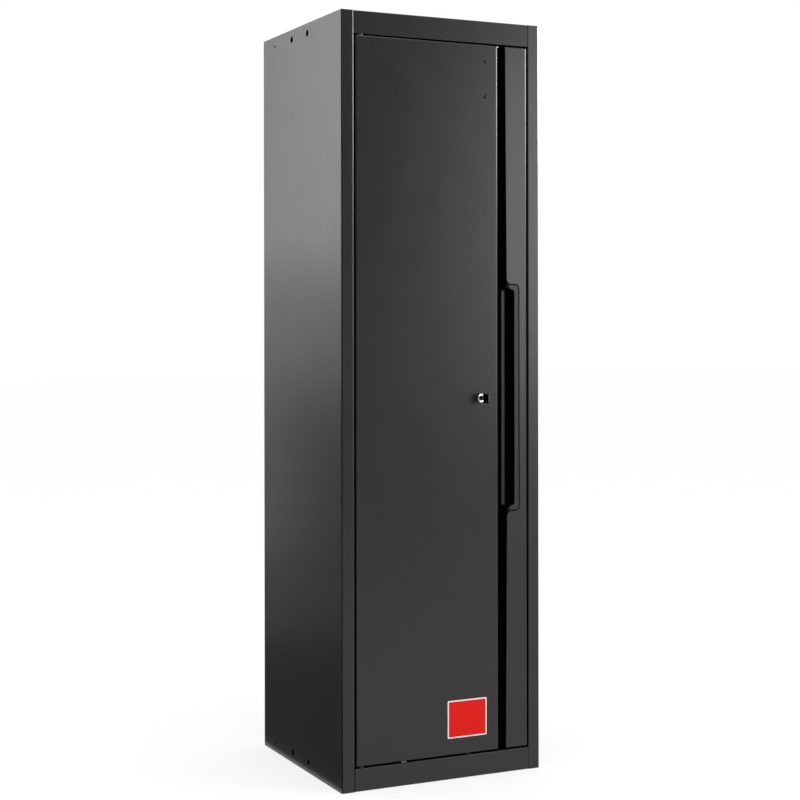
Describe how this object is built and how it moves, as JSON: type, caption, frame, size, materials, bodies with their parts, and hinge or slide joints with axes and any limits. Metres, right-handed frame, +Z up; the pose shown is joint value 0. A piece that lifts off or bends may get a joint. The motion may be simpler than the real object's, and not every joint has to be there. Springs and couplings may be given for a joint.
{
  "type": "single-door tool cabinet",
  "caption": "Tall steel tool cabinet with one inset door, a moulded full-hand grip in a sunk channel, a key lock that throws rods up and down, and shelves on slotted uprights.",
  "frame": {"origin": "on the floor, under the middle of the whole part with the key in its lock", "axes": "+Z up; the door faces -Y; +X to the right seen from the front"},
  "size_m": [0.58, 0.593, 2],
  "materials": {
    "black_paint": "satin powder coat",
    "black_plastic": "satin moulded",
    "zinc": "zinc plated",
    "chrome": "polished",
    "nylon": "moulded",
    "rubber": "matte"
  },
  "bodies": {
    "carcass": {"left_side_panel": "black_paint", "right_side_panel": "black_paint", "top_panel": "black_paint", "bottom_panel": "black_paint", "back_panel": "black_paint", "upright_front_left": "black_paint", "upright_rear_left": "black_paint", "upright_front_right": "black_paint", "upright_rear_right": "black_paint", "shelf_1": "black_paint", "shelf_2": "black_paint", "shelf_3": "black_paint", "shelf_4": "black_paint", "shelf_clips": "zinc", "upper_hinge_bracket": "zinc", "lower_hinge_bracket": "zinc", "upper_hinge_pin": "zinc", "lower_hinge_pin": "zinc", "upper_rod_keeper": "nylon", "lower_rod_keeper": "nylon", "door_stop_strip": "black_paint", "stop_buffers": "rubber", "door_rest_pad": "nylon"},
    "door": {"door_panel": "black_paint", "door_stiffener": "black_paint", "upper_corner_plate": "zinc", "lower_corner_plate": "zinc", "upper_hinge_bush": "black_plastic", "lower_hinge_bush": "black_plastic", "upper_channel_liner": "black_plastic", "lower_channel_liner": "black_plastic", "grip_moulding": "black_plastic", "grip_screws": "zinc", "lock_ring": "chrome", "lock_barrel": "zinc", "lock_nut": "zinc", "lock_case": "zinc", "lock_case_cover": "zinc", "lock_case_screws": "zinc", "idler_pin": "zinc", "upper_rod_guide": "nylon", "lower_rod_guide": "nylon", "rod_guide_screws": "zinc"},
    "plug": {"lock_plug": "chrome", "drive_pinion": "zinc", "pinion_screw": "zinc"},
    "idler": {"idler_pinion": "zinc"},
    "rod_up": {"upper_rod": "zinc"},
    "rod_low": {"lower_rod": "zinc"},
    "key": {"key_blade": "zinc", "key_head": "black_plastic"}
  },
  "joints": [
    {"name": "door_hinge", "type": "hinge", "parent": "carcass", "child": "door", "pos_m": [-0.2345, -0.2445, 1], "axis": [0, 0, -1], "range_deg": [0, 110]},
    {"name": "lower_rod_slide", "type": "slide", "parent": "door", "child": "rod_low", "axis": [0, 0, -1], "range_m": [0, 0.01571]},
    {"name": "lock_turn", "type": "hinge", "parent": "door", "child": "plug", "pos_m": [0.1155, -0.2535, 1], "axis": [0, -1, 0], "range_deg": [0, 90]},
    {"name": "idler_turn", "type": "hinge", "parent": "door", "child": "idler", "pos_m": [0.07393, -0.2385, 1], "axis": [0, 1, 0], "range_deg": [0, 130.9]},
    {"name": "upper_rod_slide", "type": "slide", "parent": "door", "child": "rod_up", "axis": [0, 0, 1], "range_m": [0, 0.0158]},
    {"name": "key_slide", "type": "slide", "parent": "plug", "child": "key", "axis": [0, -1, 0], "range_m": [0, 0.012]}
  ],
  "couplings": [
    {"joint": "lock_turn", "follows": "lower_rod_slide", "rad_per_m": 100},
    {"joint": "idler_turn", "follows": "lower_rod_slide", "rad_per_m": 145.45},
    {"joint": "upper_rod_slide", "follows": "lower_rod_slide", "ratio": 1}
  ]
}
